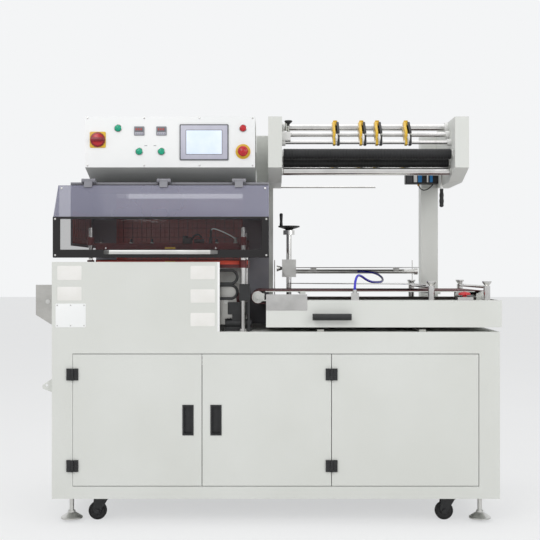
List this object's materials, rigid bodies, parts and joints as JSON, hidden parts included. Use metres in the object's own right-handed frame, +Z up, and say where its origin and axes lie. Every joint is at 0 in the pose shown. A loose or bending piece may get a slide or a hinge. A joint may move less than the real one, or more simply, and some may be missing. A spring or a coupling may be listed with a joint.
{
  "type": "l bar sealer",
  "caption": "Automatic L-bar film sealer: cabinet on casters, hooded L-shaped sealing jaws, sliding infeed belt, film carriage and control box on rear columns.",
  "frame": {"origin": "on the floor, in the middle of the machine's outline", "axes": "+X from the outfeed to the infeed as the operator sees it, +Y away from the operator, +Z up"},
  "size_m": [1.685, 0.83, 1.493],
  "materials": {
    "painted_sheet": "light grey powder coat",
    "stainless": "brushed",
    "chrome": "polished",
    "black_cast": "satin black",
    "black_plastic": "moulded",
    "zinc": "zinc plated",
    "caster_tyre": "moulded",
    "belt": "woven, dark red",
    "jaw_tape": "dark red",
    "smoked_glazing": "smoked acrylic",
    "hood_border": "gloss black",
    "guard_red": "red mesh",
    "guard_grey": "grey",
    "aluminium": "satin",
    "fascia_white": "satin white",
    "instrument": "moulded",
    "red_button": "gloss",
    "green_button": "gloss",
    "nip_rubber": "ground rubber",
    "perforator": "yellow",
    "drive_red": "red enamel",
    "panel_gear": "moulded",
    "hose_blue": "polyurethane"
  },
  "bodies": {
    "machine_frame": {"cabinet_frame": "painted_sheet", "cabinet_cover_panels": "painted_sheet", "electrical_gear": "panel_gear", "hinge_frame_leaves": "black_cast", "caster_mounts": "black_cast", "seal_unit_casing": "painted_sheet", "jaw_columns": "chrome", "outfeed_bed": "stainless", "outfeed_belt": "belt", "chamber_guard": "guard_grey", "guard_mesh": "guard_red", "film_columns": "painted_sheet", "film_side_plates": "painted_sheet", "film_tie_rods": "chrome", "film_drive_unit": "black_plastic", "control_box": "painted_sheet", "control_fascia": "fascia_white", "panel_instruments": "instrument", "infeed_slide_rails": "zinc", "bay_drive": "drive_red"},
    "hood": {"hood_glazing": "smoked_glazing", "hood_frame": "hood_border"},
    "door_left_body": {"door_left": "painted_sheet", "door_left_fittings": "black_cast"},
    "door_right_body": {"door_right": "painted_sheet", "door_right_fittings": "black_cast"},
    "upper_jaw_body": {"upper_jaw": "jaw_tape"},
    "lower_jaw_body": {"lower_jaw": "jaw_tape"},
    "infeed": {"infeed_tray": "painted_sheet", "infeed_belt": "belt", "infeed_pull_handle": "black_plastic", "infeed_fittings": "chrome", "opener_post": "chrome", "air_hose": "hose_blue"},
    "infeed_head_roller_body": {"infeed_head_roller": "aluminium"},
    "infeed_tail_roller_body": {"infeed_tail_roller": "aluminium"},
    "outfeed_head_roller_body": {"outfeed_head_roller": "aluminium"},
    "outfeed_tail_roller_body": {"outfeed_tail_roller": "aluminium"},
    "handwheel_body": {"handwheel": "black_plastic"},
    "opener_carriage_body": {"opener_carriage": "aluminium"},
    "tension_lever_body": {"tension_lever": "black_plastic"},
    "rubber_roller_front_body": {"rubber_roller_front": "nip_rubber"},
    "rubber_roller_rear_body": {"rubber_roller_rear": "nip_rubber"},
    "idler_roller_upper_body": {"idler_roller_upper": "chrome"},
    "idler_roller_lower_body": {"idler_roller_lower": "chrome"},
    "main_switch_knob_body": {"main_switch_knob": "red_button"},
    "stop_mushroom_panel_body": {"stop_mushroom_panel": "red_button"},
    "stop_mushroom_infeed_body": {"stop_mushroom_infeed": "red_button"},
    "stop_button_body": {"stop_button": "red_button"},
    "start_button_body": {"start_button": "green_button"},
    "heater_button_a_body": {"heater_button_a": "green_button"},
    "heater_button_b_body": {"heater_button_b": "green_button"},
    "caster_fork_front_left_body": {"caster_fork_front_left": "black_cast"},
    "caster_fork_front_right_body": {"caster_fork_front_right": "black_cast"},
    "caster_wheel_front_left_body": {"caster_wheel_front_left": "caster_tyre"},
    "caster_wheel_front_right_body": {"caster_wheel_front_right": "caster_tyre"},
    "caster_wheel_rear_left_body": {"caster_wheel_rear_left": "caster_tyre"},
    "caster_wheel_rear_right_body": {"caster_wheel_rear_right": "caster_tyre"},
    "levelling_feet_body": {"levelling_feet": "zinc"},
    "film_perforators_body": {"film_perforators": "perforator"}
  },
  "joints": [
    {"name": "hood_open", "type": "hinge", "parent": "machine_frame", "child": "hood", "pos_m": [0, -0.273, 1.238], "axis": [-1, 0, 0], "range_deg": [0, 80]},
    {"name": "door_left_swing", "type": "hinge", "parent": "machine_frame", "child": "door_left_body", "pos_m": [-0.6925, -0.3813, 0.37], "axis": [0, 0, -1], "range_deg": [0, 110]},
    {"name": "door_right_swing", "type": "hinge", "parent": "machine_frame", "child": "door_right_body", "pos_m": [0.2335, -0.3813, 0.37], "axis": [0, 0, 1], "range_deg": [0, 110]},
    {"name": "upper_jaw_press", "type": "slide", "parent": "machine_frame", "child": "upper_jaw_body", "axis": [0, 0, -1], "range_m": [0, 0.03]},
    {"name": "lower_jaw_lift", "type": "slide", "parent": "machine_frame", "child": "lower_jaw_body", "axis": [0, 0, -1], "range_m": [0, 0.118]},
    {"name": "infeed_slide", "type": "slide", "parent": "machine_frame", "child": "infeed", "axis": [0, -1, 0], "range_m": [0, 0.15]},
    {"name": "infeed_head_spin", "type": "hinge", "parent": "infeed", "child": "infeed_head_roller_body", "pos_m": [-0.031, -0.07, 0.8105], "axis": [0, 1, 0], "continuous": true},
    {"name": "infeed_tail_spin", "type": "hinge", "parent": "infeed", "child": "infeed_tail_roller_body", "pos_m": [0.792, -0.07, 0.8105], "axis": [0, 1, 0], "continuous": true},
    {"name": "outfeed_head_spin", "type": "hinge", "parent": "machine_frame", "child": "outfeed_head_roller_body", "pos_m": [-0.147, -0.07, 0.7945], "axis": [0, 1, 0], "continuous": true},
    {"name": "outfeed_tail_spin", "type": "hinge", "parent": "machine_frame", "child": "outfeed_tail_roller_body", "pos_m": [-0.7985, -0.07, 0.7945], "axis": [0, 1, 0], "continuous": true},
    {"name": "handwheel_turn", "type": "hinge", "parent": "infeed", "child": "handwheel_body", "pos_m": [0.0915, 0.17, 1.089], "axis": [0, 0, 1], "range_deg": [0, 3600]},
    {"name": "carriage_lift", "type": "slide", "parent": "infeed", "child": "opener_carriage_body", "axis": [0, 0, 1], "range_m": [0, 0.06]},
    {"name": "tension_lever_swing", "type": "hinge", "parent": "machine_frame", "child": "tension_lever_body", "pos_m": [0.6995, 0.045, 1.329], "axis": [1, 0, 0], "range_deg": [-25, 25]},
    {"name": "rubber_roller_front_spin", "type": "hinge", "parent": "machine_frame", "child": "rubber_roller_front_body", "pos_m": [0.3825, -0.143, 1.351], "axis": [1, 0, 0], "continuous": true},
    {"name": "rubber_roller_rear_spin", "type": "hinge", "parent": "machine_frame", "child": "rubber_roller_rear_body", "pos_m": [0.3825, -0.085, 1.323], "axis": [1, 0, 0], "continuous": true},
    {"name": "idler_roller_lower_spin", "type": "hinge", "parent": "machine_frame", "child": "idler_roller_lower_body", "pos_m": [0.3825, -0.113, 1.289], "axis": [1, 0, 0], "continuous": true},
    {"name": "idler_roller_upper_spin", "type": "hinge", "parent": "machine_frame", "child": "idler_roller_upper_body", "pos_m": [0.3825, 0.005, 1.357], "axis": [1, 0, 0], "continuous": true},
    {"name": "main_switch_turn", "type": "hinge", "parent": "machine_frame", "child": "main_switch_knob_body", "pos_m": [-0.6305, -0.212, 1.397], "axis": [0, 1, 0], "range_deg": [0, 90]},
    {"name": "start_button_press", "type": "slide", "parent": "machine_frame", "child": "start_button_body", "axis": [0, 1, 0], "range_m": [0, 0.004], "stiffness_N_per_m": 800, "springref_m": -0.001},
    {"name": "heater_button_a_press", "type": "slide", "parent": "machine_frame", "child": "heater_button_a_body", "axis": [0, 1, 0], "range_m": [0, 0.004], "stiffness_N_per_m": 800, "springref_m": -0.001},
    {"name": "heater_button_b_press", "type": "slide", "parent": "machine_frame", "child": "heater_button_b_body", "axis": [0, 1, 0], "range_m": [0, 0.004], "stiffness_N_per_m": 800, "springref_m": -0.001},
    {"name": "stop_button_press", "type": "slide", "parent": "machine_frame", "child": "stop_button_body", "axis": [0, 1, 0], "range_m": [0, 0.004], "stiffness_N_per_m": 800, "springref_m": -0.001},
    {"name": "stop_mushroom_panel_press", "type": "slide", "parent": "machine_frame", "child": "stop_mushroom_panel_body", "axis": [0, 1, 0], "range_m": [0, 0.005], "stiffness_N_per_m": 1500, "springref_m": -0.001},
    {"name": "stop_mushroom_infeed_press", "type": "slide", "parent": "infeed", "child": "stop_mushroom_infeed_body", "axis": [0, 0, -1], "range_m": [0, 0.005], "stiffness_N_per_m": 1500, "springref_m": -0.001},
    {"name": "caster_swivel_front_left", "type": "hinge", "parent": "machine_frame", "child": "caster_fork_front_left_body", "pos_m": [-0.5975, -0.295, 0.078], "axis": [0, 0, 1], "continuous": true},
    {"name": "caster_spin_front_left", "type": "hinge", "parent": "caster_fork_front_left_body", "child": "caster_wheel_front_left_body", "pos_m": [-0.6155, -0.295, 0.033], "axis": [0, 1, 0], "continuous": true},
    {"name": "caster_spin_rear_left", "type": "hinge", "parent": "machine_frame", "child": "caster_wheel_rear_left_body", "pos_m": [-0.6155, 0.335, 0.033], "axis": [0, 1, 0], "continuous": true},
    {"name": "caster_swivel_front_right", "type": "hinge", "parent": "machine_frame", "child": "caster_fork_front_right_body", "pos_m": [0.6665, -0.295, 0.078], "axis": [0, 0, 1], "continuous": true},
    {"name": "caster_spin_front_right", "type": "hinge", "parent": "caster_fork_front_right_body", "child": "caster_wheel_front_right_body", "pos_m": [0.6485, -0.295, 0.033], "axis": [0, 1, 0], "continuous": true},
    {"name": "caster_spin_rear_right", "type": "hinge", "parent": "machine_frame", "child": "caster_wheel_rear_right_body", "pos_m": [0.6485, 0.335, 0.033], "axis": [0, 1, 0], "continuous": true},
    {"name": "feet_level", "type": "slide", "parent": "machine_frame", "child": "levelling_feet_body", "axis": [0, 0, -1], "range_m": [-0.02, 0.0095]},
    {"name": "perforator_shift", "type": "slide", "parent": "machine_frame", "child": "film_perforators_body", "axis": [1, 0, 0], "range_m": [-0.04, 0.04]}
  ],
  "couplings": [
    {"joint": "infeed_tail_spin", "follows": "infeed_head_spin", "ratio": 1},
    {"joint": "outfeed_tail_spin", "follows": "outfeed_head_spin", "ratio": 1},
    {"joint": "handwheel_turn", "follows": "carriage_lift", "rad_per_m": 1047.2}
  ]
}
